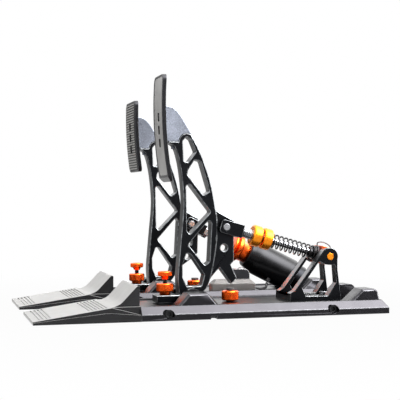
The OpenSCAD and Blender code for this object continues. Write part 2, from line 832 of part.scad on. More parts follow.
// Sensor lead from the spring seat over the trunnion: [across, above the rod axis, along from the rear pivot]
lead_r = 0.7;
lead_points = [[0, seat_r + 0.04, -9.7], [0, 10.7, -9.7], [0, 12, -10.1], [0, 13.4, -10.1], [0, 14.7, -8.7],
    [0, 15.7, -6.2], [0, 16.2, -3], [0, 15.8, 2], [0, 14.4, 6.2], [0, 12.2, 8.5], [0, 10.1, 8.5], [0, 8.32, 6.99]];
module sensor_lead() {
    color(black)
        on_rod(throttle_slope)
            tube(
                [for (p = smooth(lead_points, 3)) [p[0], -p[1], throttle_unit_len + p[2]]],
                lead_r, 8, [1, 0, 0]
            );
}

// Throttle rear bracket
bracket_front_y = 98;
bracket_rear_y = 164.5;
boss_r = 10.5;
plate_in = bracket_w / 2 - bracket_t;
toe_h = [10, 13.3];
bracket_head_r = 5;
bracket_bolt_x = plate_in - bracket_head_r - 1.5;
bracket_outline = [[bracket_front_y, deck_h], [bracket_rear_y, deck_h], [bracket_rear_y - 1.5, deck_h + 15],
    [throttle_rear_y + boss_r - 0.5, throttle_rear_h - 16], [throttle_rear_y + boss_r - 0.5, throttle_rear_h + 2],
    [throttle_rear_y - 2, throttle_rear_h + boss_r - 0.3],
    [throttle_rear_y - 8, throttle_rear_h + 7.6], [bracket_front_y + 6, deck_h + toe_h[1]],
    [bracket_front_y, deck_h + toe_h[0]]];
bracket_window = [[bracket_front_y + 20, deck_h + 6], [throttle_rear_y - 2.3, deck_h + 6],
    [throttle_rear_y + 8.4, deck_h + 22], [throttle_rear_y + 6.6, throttle_rear_h - 10],
    [throttle_rear_y - 6.2, throttle_rear_h - 9.6], [throttle_rear_y - 13.9, throttle_rear_h - 5.3],
    [bracket_front_y + 14.6, deck_h + 17.4]];
bracket_bolt_y = [bracket_front_y + 19, bracket_rear_y - 10];
module at_bracket_bolts() {
    for (y = bracket_bolt_y, x = [-bracket_bolt_x, bracket_bolt_x])
        translate([x, y, deck_h])
            children();
}
module rear_bracket() {
    color(black)
        difference() {
            union() {
                both_sides()
                    difference() {
                        across(plate_in, plate_in + bracket_t) polygon(bracket_outline);
                        across(plate_in - 1, plate_in + bracket_t + 1) polygon(rounded(bracket_window, 1.5));
                    }
                both_sides() cross_bar(throttle_rear, boss_r, plate_in, plate_in + bracket_t);
                translate([-plate_in - 1, bracket_front_y, deck_h])
                    cube([2 * plate_in + 2, bracket_rear_y - bracket_front_y, bracket_floor]);
                translate([-plate_in - 1, bracket_front_y, deck_h]) cube([2 * plate_in + 2, 9, 7]);
            }
            cross_bar(throttle_rear, pin_r + running, -bracket_w, bracket_w);
            at_bracket_bolts() translate([0, 0, -1]) cylinder(r = 3 + running, h = 12);
        }
}
module bracket_bolts() {
    color(silver)
        at_bracket_bolts()
            translate([0, 0, bracket_floor])
                difference() {
                    union() {
                        cylinder(r = bracket_head_r, h = 5);
                        translate([0, 0, -bracket_floor]) cylinder(r = 3, h = bracket_floor + 1);
                    }
                    translate([0, 0, 2.5]) cylinder(r = 2.6, h = 4, $fn = 6);
                }
}
module throttle_rear_pin() {
    color(silver) cross_bar(throttle_rear, pin_r, -bracket_w / 2, bracket_w / 2);
}
module throttle_pin_caps() {
    color(yellow) both_sides() cross_bar(throttle_rear, pin_r + 0.2, bracket_w / 2, bracket_w / 2 + 1.4);
}

// Brake hydraulic unit
collar_at = cyl_start - collar_len;
cyl_end = brake_unit_len - 26.75;
cyl_front_r = cyl_r - 4;
shoulder_len = 20;
tail_r = 20;
eye_neck_r = 13;
eye_r = 9;
rod_bore_r = brake_rod_r + 1.5;
piston_at = cyl_start + 5;
piston_t = 8;
cyl_floor = 6;
elastomer_pitch = 11;
module brake_rod() {
    color(silver)
        on_rod(brake_slope) {
            translate([0, 0, clevis_len]) cylinder(r = brake_rod_r, h = piston_at - clevis_len);
            translate([0, 0, clevis_len]) cylinder(r = brake_rod_r + 3.5, h = 7, $fn = 6);
        }
}
module brake_piston() {
    color(silver)
        on_rod(brake_slope) translate([0, 0, piston_at]) cylinder(r = cyl_bore_r - 1.2, h = piston_t);
}
module brake_collar() {
    color(orange)
        on_rod(brake_slope)
            translate([0, 0, collar_at])
                rotate_extrude()
                    polygon([
                        [rod_bore_r, 0], [16.5, 0], [17.5, 0.8], [17.5, 3.4], [16.5, 4.2], [14.6, 4.4], [14.6, 5.8],
                        [18.8, 6], [19.6, 7], [19.6, 11], [18.4, 12.2], [15.6, 13.4], [13.4, collar_len],
                        [rod_bore_r, collar_len]
                    ]);
}
gland_at = [12, cyl_start + 43];
gland_y = cyl_r - 5;
module brake_cylinder() {
    color(black)
        on_rod(brake_slope) {
            translate([0, 0, cyl_start])
                rotate_extrude($fn = 64)
                    polygon(concat(
                        [[rod_bore_r + 1, 0]],
                        arc([cyl_front_r - 3, 3], 3, -90, 0, 6),
                        [[cyl_r, shoulder_len]],
                        arc([cyl_r - 2, cyl_end - cyl_start - 2], 2, 0, 90, 5),
                        [[0, cyl_end - cyl_start], [0, cyl_end - cyl_start - cyl_floor],
                        [cyl_bore_r, cyl_end - cyl_start - cyl_floor], [cyl_bore_r, 4], [rod_bore_r + 1, 4]]
                    ));
            translate([gland_at[0], gland_y, gland_at[1]])
                rotate([-90, 0, 0])
                    cylinder(r = 3.2, h = 6);
        }
}
module brake_elastomers() {
    color(orange)
        on_rod(brake_slope)
            for (i = [0:3])
                translate([0, 0, cyl_end - cyl_floor - (i + 1) * elastomer_pitch])
                    cylinder(r = cyl_bore_r - 0.5, h = elastomer_pitch - 0.4);
}
module brake_rear_eye() {
    color(black)
        difference() {
            union() {
                cross_bar(brake_rear, eye_r, -hump_in + side_gap, hump_in - side_gap);
                on_rod(brake_slope)
                    translate([0, 0, cyl_end]) {
                        cylinder(r = tail_r, h = brake_unit_len - cyl_end - 12);
                        cylinder(r = eye_neck_r, h = brake_unit_len - cyl_end - 5);
                    }
            }
            cross_bar(brake_rear, brake_pin_r + running, -hump_gap, hump_gap);
        }
}
module brake_rear_pin() {
    color(silver)
        cross_bar(brake_rear, brake_pin_r, -hump_out + axle_wall + seat_gap, hump_out - axle_wall - seat_gap);
}

// Brake sensor box on the deck, and its cable to the cylinder
box_x = [deck_x - 20, deck_x - 2];
box_y = 42;
box_bevel = 6;
box_taper = 6;
box_side_taper = 4;
module sensor_box() {
    color(warm_grey) {
        translate([box_x[0], box_y, deck_h]) cube([box_x[1] - box_x[0], box_len, box_h]);
        translate([0, 0, box_h + deck_h - eps])
            intersection() {
                across(box_x[0], box_x[1])
                    polygon([[box_y, 0], [box_y + box_len, 0], 
                        [box_y + box_len - box_taper, box_bevel], [box_y + box_taper, box_bevel]]);
                translate([0, box_y + box_len, 0])
                    rotate([90, 0, 0])
                        linear_extrude(box_len)
                            polygon([
                                [box_x[0], 0], [box_x[1], 0],
                                [box_x[1] - box_side_taper, box_bevel], [box_x[0] + box_side_taper, box_bevel]
                            ]);
            }
    }
}
cap_y = [box_y + 22, box_y + box_len - box_taper - 0.7];
cap_x = [box_x[0] + box_side_taper, box_x[1] - box_side_taper];
cap_h = 14;
cap_rear_r = 8.5;
cap_front_r = 8;
plug_r = 3.6;
plug_h = 1.6;
plug_y = box_y + 43.5;
module sensor_cap() {
    color(black)
        translate([0, 0, deck_h + box_h + box_bevel]) {
            across(cap_x[0], cap_x[1])
                polygon(concat(
                    [[cap_y[0], 0], [cap_y[1], 0]],
                    arc([cap_y[1] - cap_rear_r, cap_h - cap_rear_r], cap_rear_r, 0, 90, 6),
                    arc([cap_y[0] + cap_front_r, cap_h - cap_front_r], cap_front_r, 90, 170, 6)
                ));
            translate([(cap_x[0] + cap_x[1]) / 2, plug_y, cap_h - 1]) cylinder(r = plug_r, h = plug_h + 1);
        }
}
cable_r = 1.6;
// Route of the cable in the brake module: [across, along the base, up]
box_end = box_y + box_len;
cable_points = [[33, box_end + eps, 19], [33, box_end + 3, 19], [32.2, 109.6, 17.6], [29, 114.5, 16.4],
    [24, 120, 16.2], [18.4, 125.3, 16.3], [14.4, 128.3, 17.2], [12.5, 129.3, 19.3], [12, 129.7, 21.6],
    [12, 130.5, 23.25]];
module sensor_cable() {
    color(black) tube(smooth(cable_points, 3), cable_r, 8, [0.6, 0.2, 0.5]);
}

module at_throttle() {
    translate([throttle_x, 0, 0]) children();
}
module at_brake() {
    translate([brake_x, 0, 0]) children();
}

at_throttle() base(bracket_rear_y + 1, false);  // throttle_base
at_throttle() heel_rest();  // throttle_heel_rest
at_throttle() heel_screws();  // throttle_heel_screws
at_throttle() base_bolts();  // throttle_base_bolts
at_throttle() pivot_axle();  // throttle_pivot_axle
at_throttle() pivot_bushes();  // throttle_pivot_bushes
at_throttle() arm(lug, true);  // throttle_arm
at_throttle() pad_carrier();  // throttle_pad_carrier
at_throttle() pad(throttle_pad_w, throttle_pad_h, throttle_lip);  // throttle_pad
at_throttle() throttle_pad_face();
at_throttle() pad_screws();  // throttle_pad_screws
at_throttle() rest_knob();  // throttle_rest_knob
at_throttle() rest_lock_wheel();  // throttle_rest_lock_wheel
at_throttle() end_stop_wheel();  // throttle_end_stop_wheel
at_throttle() end_stop_bumper();  // throttle_end_stop_bumper
at_throttle() clevis_pin();  // throttle_clevis_pin
at_throttle() clevis(throttle_slope);  // throttle_clevis
at_throttle() throttle_rod();
at_throttle() throttle_ring(ring_start + ring_step);  // throttle_preload_ring
at_throttle() throttle_ring(ring_start);  // throttle_lock_ring
at_throttle() throttle_spring();
at_throttle() guide_tube();  // throttle_guide_tube
at_throttle() trunnion();  // throttle_trunnion
at_throttle() rear_bracket();  // throttle_rear_bracket
at_throttle() bracket_bolts();  // throttle_bracket_bolts
at_throttle() throttle_rear_pin();
at_throttle() throttle_pin_caps();
at_throttle() sensor_lead();  // throttle_sensor_lead
at_brake() base(147, true);  // brake_base
at_brake() heel_rest();  // brake_heel_rest
at_brake() heel_screws();  // brake_heel_screws
at_brake() base_bolts();  // brake_base_bolts
at_brake() pivot_axle();  // brake_pivot_axle
at_brake() pivot_bushes();  // brake_pivot_bushes
at_brake() arm(brake_lug, false);  // brake_arm
at_brake() pad_carrier();  // brake_pad_carrier
at_brake() pad(brake_pad_w, brake_pad_h);  // brake_pad
at_brake() brake_pad_face();
at_brake() pad_screws();  // brake_pad_screws
at_brake() rest_knob();  // brake_rest_knob
at_brake() rest_lock_wheel();  // brake_rest_lock_wheel
at_brake() end_stop_wheel();  // brake_end_stop_wheel
at_brake() end_stop_bumper();  // brake_end_stop_bumper
at_brake() clevis_pin();  // brake_clevis_pin
at_brake() clevis(brake_slope);  // brake_clevis
at_brake() brake_rod();
at_brake() brake_collar();
at_brake() brake_cylinder();
at_brake() brake_rear_eye();
at_brake() brake_rear_pin();
at_brake() brake_piston();
at_brake() brake_elastomers();
at_brake() sensor_box();  // brake_sensor_box
at_brake() sensor_cap();  // brake_sensor_cap
at_brake() sensor_cable();  // brake_sensor_cable
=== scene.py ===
"""A sim racing pedal set: eased metalwork, knurled wheels, cut threads, a wound spring and satin finishes."""

import json
import math

import bmesh
import bpy
from mathutils import Matrix, Vector


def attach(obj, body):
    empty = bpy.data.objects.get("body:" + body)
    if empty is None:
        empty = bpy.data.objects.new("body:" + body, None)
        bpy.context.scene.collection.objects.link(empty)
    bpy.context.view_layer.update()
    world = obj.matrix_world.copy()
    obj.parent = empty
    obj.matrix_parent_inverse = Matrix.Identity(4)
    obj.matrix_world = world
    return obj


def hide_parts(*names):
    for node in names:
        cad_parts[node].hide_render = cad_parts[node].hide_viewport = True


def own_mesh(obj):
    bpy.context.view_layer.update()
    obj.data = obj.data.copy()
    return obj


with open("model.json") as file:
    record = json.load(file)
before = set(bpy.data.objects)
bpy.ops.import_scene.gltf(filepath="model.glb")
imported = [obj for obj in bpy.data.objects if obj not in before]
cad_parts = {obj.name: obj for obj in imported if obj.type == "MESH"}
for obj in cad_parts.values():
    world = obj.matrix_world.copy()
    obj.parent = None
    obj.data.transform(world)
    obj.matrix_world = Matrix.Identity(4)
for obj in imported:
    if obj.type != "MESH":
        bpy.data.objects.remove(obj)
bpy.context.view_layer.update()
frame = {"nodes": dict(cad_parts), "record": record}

MM = 0.001
WELD = 1e-6
NODES = frame["nodes"]
BODY_OF = {n: b for b, members in frame["record"]["behaviour"]["bodies"].items() for n in members}
SLOT_OF = {s["node"]: s["material_slot"] for s in frame["record"]["subparts"]}
MODULE_SHIFT = 81
MODULES = {"throttle": MODULE_SHIFT, "brake": -MODULE_SHIFT}

# Places in millimetres, as [along the base, up]
CLEVIS = (21, 106)
REAR = {"throttle": (150, 69), "brake": (193, 19)}
REST_STOP = (-53, 25)
END_STOP = (29, 14.5)
PAD_AXIS = (442.8, 251.9)


def added(name, data):
    """An object with this data, in the scene."""
    made = bpy.data.objects.new(name, data)
    bpy.context.scene.collection.objects.link(made)
    return made


def aimed(name, data, at, way):
    """An object in the scene that stands at a place in metres and looks along a way."""
    made = added(name, data)
    made.location = at
    made.rotation_euler = way.to_track_quat("-Z", "Y").to_euler()
    return made


# Camera
CAMERA_AT = Vector((1.2225, -0.331, 0.1386))
CAMERA_YAW = math.radians(15.74)
camera_data = bpy.data.cameras.new("camera")
camera_data.lens = 87.93
camera_data.sensor_width = 36
facing = Vector((-math.cos(CAMERA_YAW), math.sin(CAMERA_YAW), 0))
bpy.context.scene.camera = aimed("camera", camera_data, CAMERA_AT, facing)
bpy.context.scene.view_settings.view_transform = "Standard"


class Wire:
    """A value on its way through a node tree, with the operators that the finishes use."""

    def __init__(self, tree, socket):
        self.tree = tree
        self.socket = socket

    def combined(self, operation, first, second):
        return self.tree.node("ShaderNodeMath", {"operation": operation}, {0: first, 1: second})

    def __add__(self, other):
        return self.combined("ADD", self, other)

    __radd__ = __add__

    def __mul__(self, other):
        return self.combined("MULTIPLY", self, other)

    __rmul__ = __mul__

    def __rsub__(self, other):
        return self.combined("SUBTRACT", other, self)

    def larger(self, other):
        return self.combined("MAXIMUM", self, other)


class Tree:
    """The node tree of a material or world, with short ways to add to it."""

    def __init__(self, owner):
        owner.use_nodes = True
        self.nodes = owner.node_tree.nodes
        self.links = owner.node_tree.links

    def node(self, kind, settings=None, inputs=None, out=0):
        made = self.nodes.new(kind)
        for key, value in (settings or {}).items():
            setattr(made, key, value)
        self.feed(made, inputs or {})
        return Wire(self, made.outputs[out])

    def feed(self, node, inputs):
        for key, value in inputs.items():
            if isinstance(value, Wire):
                self.links.new(value.socket, node.inputs[key])
            else:
                node.inputs[key].default_value = value

    def noise(self, scale, detail, stretch=(1, 1, 1)):
        place = self.node("ShaderNodeTexCoord", out="Object")
        place = self.node("ShaderNodeMapping", inputs={"Vector": place, "Scale": stretch})
        return self.node("ShaderNodeTexNoise", inputs={"Vector": place, "Scale": scale, "Detail": detail})

    def spread(self, value, low, high):
        """0 where the value is low, and 1 where it is high."""
        return self.node("ShaderNodeMapRange", inputs={"Value": value, "From Min": low, "From Max": high})

    def mixed(self, share, first, second):
        """Two colours; sockets 6 and 7 and output 2 are the node's colour ones."""
        return self.node("ShaderNodeMix", {"data_type": "RGBA"}, {0: share, 6: first, 7: second}, out=2)

    def marked(self, name):
        """The number that a face carries under this name."""
        return self.node("ShaderNodeAttribute", {"attribute_name": name}, out="Fac")


# Unevenness that all finishes share
CLOUD_SHARE = 0.6
PATCH_SPREAD = (0.3, 0.7)
ROUGHNESS_SWING = 0.12
RUB_SCALE = 220
RUB_SPREAD = (0.35, 0.6)
RUB_LEAST = 0.35
BUMP_STRENGTH = 0.6


def rgb(colour, factor=1.0):
    return (*[min(1.0, c * factor) for c in colour], 1)


def finish(
    name, colour, metallic, roughness, grain=900, relief=0.02, mottle=0.12, brushed=(1, 1, 1),
    edge_wear_and_sheen=None, second_tone_and_painted_light=None, cloud=55, specular=0.5,
):
    """A surface with soft mottling and a fine grain or brushed lines.

    relief is the depth of the grain in millimetres. The edge colour goes on rounded edges in patches: partly
    wear, and on most finishes a painted highlight. The second colour goes on marked faces: a real second tone
    on some parts, painted light and shade on others.
    """
    material = bpy.data.materials.new(name)
    made = Tree(material)
    clouds = made.noise(cloud, 4)
    fine = made.noise(grain, 2, brushed)
    patch = made.spread(CLOUD_SHARE * clouds + (1 - CLOUD_SHARE) * fine, *PATCH_SPREAD)
    shade = made.mixed(patch, rgb(colour, 1 - mottle), rgb(colour, 1 + mottle))
    # Marked faces take the second colour: a painted sheen on the base's rim chamfers, a painted reflection on
    # the bracket legs' fronts, painted shade in the brake pad's grooves, and a real dark tone on the heel
    # rest's sides.
    if second_tone_and_painted_light:
        shade = made.mixed(made.marked("side"), shade, rgb(second_tone_and_painted_light))
    if edge_wear_and_sheen:
        # Rounded edges take the edge colour in patches: partly wear, and on most finishes a painted highlight
        # along the edges.
        rub = made.spread(made.noise(RUB_SCALE, 3), *RUB_SPREAD)
        shade = made.mixed(made.marked("edge_wear_and_sheen") * (RUB_LEAST + (1 - RUB_LEAST) * rub), shade, rgb(edge_wear_and_sheen))
    bump = made.node(
        "ShaderNodeBump", inputs={"Strength": BUMP_STRENGTH, "Distance": relief * MM, "Height": fine}
    )
    made.feed(made.nodes["Principled BSDF"], {
        "Base Color": shade,
        "Roughness": roughness - ROUGHNESS_SWING / 2 + ROUGHNESS_SWING * patch,
        "Metallic": metallic,
        "Specular IOR Level": specular,
        "Normal": bump,
    })
    return material


# Finishes by slot: name, colour, metallic, roughness, grain, relief and mottle
STRETCH_ACROSS = (0.06, 1, 1)
FINISHES = {
    # The cast base: its rim chamfers are lightened by the second colour, a painted sheen, and its rounded
    # edges by the edge colour, patchy wear and a painted highlight.
    "base_black": finish(
        "cast_black", (0.017, 0.0165, 0.019), 0.9, 0.34, 1500, 0.03,
        edge_wear_and_sheen=(0.07, 0.07, 0.075), second_tone_and_painted_light=(0.028, 0.027, 0.03),
    ),
    # The heel rest is two-tone: a light top with dark sides, and its rounded edges dark too.
    "heel_grey": finish(
        "heel_satin", (0.58, 0.572, 0.56), 0, 0.44, 1300, 0.03,
        edge_wear_and_sheen=(0.08, 0.08, 0.08), second_tone_and_painted_light=(0.008, 0.008, 0.009), specular=0.25,
    ),
    "black_steel": finish("black_oxide", (0.02, 0.02, 0.022), 0.8, 0.34),
    "bright_steel": finish("bright_steel", (0.32, 0.325, 0.34), 1, 0.25, 700, 0.006),
    # Arms and bracket: the edge colour is a painted highlight along rounded edges with patchy wear, and the
    # second colour is a painted reflection on the bracket legs' sloping fronts.
    "arm_black": finish(
        "arm_black", (0.008, 0.0085, 0.01), 0.95, 0.32, 1500, 0.02,
        edge_wear_and_sheen=(0.22, 0.23, 0.24), second_tone_and_painted_light=(0.12, 0.12, 0.125),
    ),
    "raw_aluminium": finish(
        "blasted_aluminium", (0.2, 0.215, 0.255), 0.9, 0.36, 700, 0.02, 0.5, cloud=20,
    ),
    # Lighter rounded edges on the pads: patchy wear and a painted highlight.
    "pad_black": finish("pad_black", (0.013, 0.013, 0.015), 0.8, 0.32, edge_wear_and_sheen=(0.06, 0.06, 0.065)),
    "pad_face": finish("brushed_grey", (0.42, 0.415, 0.405), 0.9, 0.4, 900, 0.015, 0.1, STRETCH_ACROSS),
    # The brake pad's rubber face: lighter rib edges, a painted highlight with patchy wear, and painted shade
    # in the grooves between the ribs; its sideways faces are darker too.
    "brake_pad_rubber": finish(
        "pad_rubber", (0.34, 0.335, 0.32), 0, 0.62, 1200, 0.05,
        edge_wear_and_sheen=(0.42, 0.41, 0.4), second_tone_and_painted_light=(0.03, 0.03, 0.03),
    ),
    # Brighter rounded edges on the orange parts: patchy wear and a painted highlight.
    "orange_anodised": finish(
        "orange_anodised", (0.82, 0.1, 0.008), 0.9, 0.27, 900, 0.01, 0.06, edge_wear_and_sheen=(0.95, 0.3, 0.1),
    ),
    "yellow_anodised": finish("yellow_anodised", (0.9, 0.27, 0.01), 0.85, 0.28, 900, 0.01, 0.05),
    "bumper_rubber": finish("bumper_rubber", (0.016, 0.016, 0.017), 0, 0.55, 1200, 0.04),
    "spring_wire": finish("spring_wire", (0.012, 0.012, 0.013), 0.6, 0.3, 700, 0.005),
    "cable_black": finish("cable_sheath", (0.016, 0.016, 0.018), 0, 0.45, 1400, 0.03),
    "gloss_black": finish("gloss_black", (0.012, 0.012, 0.013), 0.9, 0.3, 900, 0.004, 0.1),
    "elastomer": finish("elastomer", (0.65, 0.2, 0.06), 0, 0.5),
    # Slightly lighter rounded edges: patchy wear and a painted highlight.
    "grey_plastic": finish(
        "grey_plastic", (0.25, 0.235, 0.228), 0, 0.55, 1300, 0.05, edge_wear_and_sheen=(0.3, 0.29, 0.28),
    ),
    # Pale rounded edges on the sensor cap: a painted highlight rim, with patchy wear.
    "black_plastic": finish(
        "black_plastic", (0.02, 0.02, 0.024), 0.2, 0.36, 1200, 0.04, edge_wear_and_sheen=(0.6, 0.6, 0.62),
    ),
}


def piece(name, shape, body, slot, stands_for=(), sharp=38, even=False):
    """A finished shape becomes an object that rides on a body and stands for CAD nodes."""
    mesh = bpy.data.meshes.new(name)
    shape.to_mesh(mesh)
    shape.free()
    mesh.shade_smooth()
    mesh.set_sharp_from_angle(angle=math.radians(sharp))
    mesh.materials.append(FINISHES[slot])
    made = added(name, mesh)
    if even:
        flat = made.modifiers.new("even_faces", "WEIGHTED_NORMAL")
        flat.keep_sharp = True
        flat.weight = 90
    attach(made, body)
    if stands_for:
        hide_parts(*stands_for)
    return made


def stand_in(name, shape, node, **shading):
    """A finished shape becomes what is seen of one CAD node."""
    return piece(name, shape, BODY_OF[node], SLOT_OF[node], [node], **shading)


def placed(shape, matrix):
    bmesh.ops.transform(shape, matrix=matrix, verts=shape.verts)
    return shape


def bevelled(shape, edges, width, segments, held=True):
    """Bevels edges by a width in millimetres, held back where there is no room, and gives the new faces."""
    return bmesh.ops.bevel(
        shape, geom=edges, offset=width * MM, offset_type="OFFSET", segments=segments,
        profile=0.5, affect="EDGES", clamp_overlap=held, material=-1,
    )["faces"]


# Machined and cast pieces: width of their eased edges in millimetres
EASED = {
    "base": 0.8, "heel_rest": 0.15, "base_bolts": 0.4, "pivot_bushes": 0.3, "arm": 1,
    "pad_carrier": 0.7, "pad": 0.5, "pad_face": 0.35, "pad_screws": 0.25, "end_stop_bumper": 0.5,
    "clevis_pin": 0.25, "clevis": 0.7,
}
EASED_ON = {
    "throttle": {
        "guide_tube": 0.35, "trunnion": 0.8, "rear_bracket": 0.35, "bracket_bolts": 0.3, "pin_caps": 0.3,
    },
    "brake": {"rear_eye": 0.6, "sensor_box": 0.9, "sensor_cap": 0.7},
}
OUTER_ONLY = ("base",)
FULL_WIDTH = (
    "arm", "base", "pad", "pad_carrier", "rear_bracket", "sensor_box", "sensor_cap", "end_stop_bumper",
)
CAD_WELD = 2e-5
FLAT_ANGLE = math.radians(0.8)
SHARP_ANGLE = math.radians(28)
HOLE_EDGE = 2.5
EASING_STEPS = 2

# Faces that are told apart by where they lie or which way they point
ON_PLANE = 1e-5
HUMP_OUT = 47.5
HUMP_FOOT = 17
BRACKET_SIDE = 26
RIB_TOP = 0.3
SIDEWAYS = 0.6
SLOPING = 0.3
UPRIGHT = 0.95


def pad_radius(at):
    """Distance from the axis that the pads curve round."""
    return math.hypot(at.y - PAD_AXIS[0] * MM, at.z - PAD_AXIS[1] * MM)


def slopes_forward(face):
    return face.normal.y < -SLOPING and face.normal.z > SLOPING


def on_hump_side(edge):
    """True for the upper edges of a hump's outer side."""
    outside = all(abs(abs(abs(v.co.x) - MODULE_SHIFT * MM) - HUMP_OUT * MM) < ON_PLANE for v in edge.verts)
    return outside and any(v.co.z > HUMP_FOOT * MM for v in edge.verts)


def on_bracket_front(edge):
    """True for the edges between a bracket leg's sloping front and its outer side."""
    outside = all(abs(abs(v.co.x - MODULE_SHIFT * MM) - BRACKET_SIDE * MM) < ON_PLANE for v in edge.verts)
    return outside and any(slopes_forward(f) for f in edge.link_faces)


def marked_for_tone_and_painted_light(part, face, pad_front):
    """True for a face that shows the second colour of its finish: painted shade in the grooves between the
    brake pad's ribs, with its sideways faces darker too; a painted sheen on the base's rim chamfers; a
    painted reflection on the bracket legs' sloping fronts; and the heel rest's dark sides, a real second
    tone.
    """
    across = abs(face.normal.x)
    if part == "pad_face":
        return across > SIDEWAYS or pad_radius(face.calc_center_median()) < pad_front - RIB_TOP * MM
    if part == "base":
        return SLOPING < across < UPRIGHT and face.normal.z > SLOPING
    if part == "rear_bracket":
        return slopes_forward(face)
    return part == "heel_rest" and across > SIDEWAYS


# Edges that get a flat bevel first: a test for them, and the bevel's width
BROAD = {"base": (on_hump_side, 2.4), "rear_bracket": (on_bracket_front, 3.2)}


def eased(module, part, width):
    """A copy of a CAD node with its sharp edges rounded over by width millimetres."""
    node = module + "_" + part
    shape = bmesh.new()
    shape.from_mesh(NODES[node].data)
    bmesh.ops.remove_doubles(shape, verts=shape.verts, dist=CAD_WELD)
    bmesh.ops.dissolve_limit(shape, angle_limit=FLAT_ANGLE, verts=shape.verts, edges=shape.edges)
    # A layer that marks the rounded edges for the edge colour: patchy wear and a painted highlight.
    edge_wear_and_sheen = shape.faces.layers.float.new("edge_wear_and_sheen")
    if part in BROAD:
        chosen, flat_width = BROAD[part]
        bevelled(shape, [e for e in shape.edges if e.is_manifold and chosen(e)], flat_width, 1)
    sharp = [e for e in shape.edges if e.is_manifold and e.calc_face_angle() > SHARP_ANGLE]
    if part in OUTER_ONLY:
        sharp = [e for e in sharp if e.is_convex and e.calc_length() > HOLE_EDGE * MM]
    for face in bevelled(shape, sharp, width, EASING_STEPS, held=part not in FULL_WIDTH):
        face[edge_wear_and_sheen] = 1
    shape.normal_update()
    # Faces marked for the second colour: painted light and shade on the base, bracket and brake pad, and a
    # real tone on the heel rest.
    side = shape.faces.layers.float.new("side")
    pad_front = max(pad_radius(v.co) for v in shape.verts)
    for face in shape.faces:
        face[side] = marked_for_tone_and_painted_light(part, face, pad_front)
    return stand_in(node + "_eased", shape, node, even=True)


for module in MODULES:
    for part, width in {**EASED, **EASED_ON[module]}.items():
        eased(module, part, width)


def rod_frame(module):
    """Local +Z runs down the push rod from the clevis pin, and local -Y is up."""
    fall = math.atan2(CLEVIS[1] - REAR[module][1], REAR[module][0] - CLEVIS[0])
    place = Matrix.Translation(Vector((MODULES[module], *CLEVIS)) * MM)
    return place @ Matrix.Rotation(-math.pi / 2 - fall, 4, "X")


def upright(module, at):
    return Matrix.Translation(Vector((MODULES[module], *at)) * MM)


def along_z(height):
    return Matrix.Translation((0, 0, height * MM))


def turned(profile, closed=False, steps=96):
    """A profile of (radius, height) in millimetres turned round the Z axis."""
    shape = bmesh.new()
    corners = [shape.verts.new((r * MM, 0, h * MM)) for r, h in profile]
    ends = zip(corners, corners[1:] + corners[:1]) if closed else zip(corners, corners[1:])
    edges = [shape.edges.new(pair) for pair in ends]
    bmesh.ops.spin(
        shape, geom=corners + edges, cent=(0, 0, 0), axis=(0, 0, 1), dvec=(0, 0, 0),
        angle=2 * math.pi, steps=steps, use_merge=True, use_duplicate=False,
    )
    bmesh.ops.remove_doubles(shape, verts=shape.verts, dist=WELD)
    bmesh.ops.recalc_face_normals(shape, faces=shape.faces)
    return shape


def arc(r, h, size, start, end, steps=6):
    """Points of a profile round (r, h), from one angle in degrees to another."""
    turn = [math.radians(start + (end - start) * i / steps) for i in range(steps + 1)]
    return [(r + size * math.cos(a), h + size * math.sin(a)) for a in turn]


CREST_START = 0.4
CREST_END = 0.6


def thread(radius, depth, pitch, start, end):
    """The zigzag profile of a cut thread."""
    points = []
    for i in range(int((end - start) / pitch)):
        low = start + i * pitch
        points += [
            (radius - depth, low), (radius, low + CREST_START * pitch),
            (radius, low + CREST_END * pitch), (radius - depth, low + pitch),
        ]
    return points


# Stop wheels and screws
WHEEL_TEETH = 54
RIM_SLACK = 0.05
KNOB_R = 8.7
KNOB_KNURL = 0.28
WHEEL_R = 10.4
WHEEL_KNURL = 0.3
SCREW_FOOT = -10.2
SCREW_TOP = 18.7
KNOB = [
    (0, 18.5), (3.7, 18.5), (4.1, 18.9), (5.6, 21.9), (7.7, 22), (KNOB_R, 23), (KNOB_R, 26.9),
    (7.8, 27.8), (6.2, 27.9), (5.6, 27.3), (0, 27.3),
]
SCREW = [
    (0, SCREW_FOOT), (2.3, SCREW_FOOT), *thread(2.8, 0.45, 1.1, -9.8, 18.6), (2.3, SCREW_TOP), (0, SCREW_TOP),
]
LOCK_WHEEL = [
    (2.85, 0.15), (6.2, 0.15), (6.6, 0.6), (7.2, 3.5), (9.1, 3.6), (WHEEL_R, 4.9), (WHEEL_R, 12.5),
    (9.2, 13.65), (4.4, 13.7), (2.85, 13.2),
]
END_WHEEL = [
    (3.05, 1.55), (8.9, 1.55), (WHEEL_R, 3), (WHEEL_R, 11.9), (9.1, 13.3), (5.9, 13.35), (5.5, 12.9),
    (3.05, 12.9),
]


def knurled(profile, radius, depth, closed):
    """A turned wheel with every other point of its rim cut in by depth."""
    shape = turned(profile, closed, steps=2 * WHEEL_TEETH)
    for v in shape.verts:
        out = math.hypot(v.co.x, v.co.y)
        tooth = round(math.atan2(v.co.y, v.co.x) * WHEEL_TEETH / math.pi)
        if out > (radius - RIM_SLACK) * MM and tooth % 2:
            cut = (out - depth * MM) / out
            v.co.x *= cut
            v.co.y *= cut
    return shape


